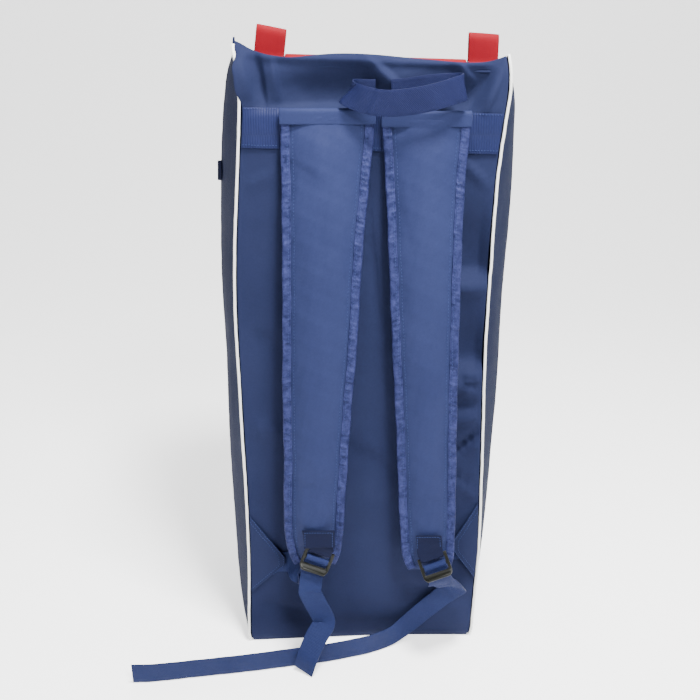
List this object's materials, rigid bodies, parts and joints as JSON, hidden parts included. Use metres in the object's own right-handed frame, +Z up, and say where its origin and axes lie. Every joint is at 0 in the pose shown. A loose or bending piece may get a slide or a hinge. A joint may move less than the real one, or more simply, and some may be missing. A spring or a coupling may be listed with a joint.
{
  "type": "cricket kit bag",
  "caption": "Tall zipped kit bag worn on the back by two padded straps, standing on its end, with piped seams, a grab handle and ladder buckles.",
  "frame": {"origin": "middle of the base, on the floor it stands on", "axes": "+Z up along the length of the bag, -Y out of the back panel with the shoulder straps, +X to the right seen from the straps"},
  "size_m": [0.5046, 0.4137, 0.8288],
  "materials": {
    "canvas": "woven polyester canvas, matt",
    "pad": "plain woven nylon over foam",
    "webbing": "ribbed webbing",
    "binding": "woven binding tape",
    "piping": "smooth white piping",
    "red": "red webbing and cloth",
    "plastic": "moulded dark plastic",
    "metal": "plated die casting"
  },
  "bodies": {
    "root": {"back_panel": "canvas", "front_panel": "canvas", "gusset_left": "canvas", "gusset_right": "canvas", "base_panel": "canvas", "top_panel_back": "canvas", "top_panel_front": "canvas", "anchor_band": "webbing", "piping_left": "piping", "piping_right": "piping", "strap_pad_left": "pad", "strap_pad_right": "pad", "binding_outer_left": "binding", "binding_inner_left": "binding", "binding_outer_right": "binding", "binding_inner_right": "binding", "ladder_buckle_left": "plastic", "ladder_buckle_right": "plastic", "strap_end_left": "webbing", "strap_end_right": "webbing", "adjuster_webbing_left": "webbing", "adjuster_webbing_right": "webbing", "corner_tab_left": "canvas", "corner_tab_right": "canvas", "end_tab_left": "red", "end_tab_right": "red", "grab_handle": "webbing", "zip_flap": "red", "zip_chain": "webbing", "zip_slider": "metal", "zip_puller": "metal", "side_tab": "webbing"}
  },
  "joints": []
}
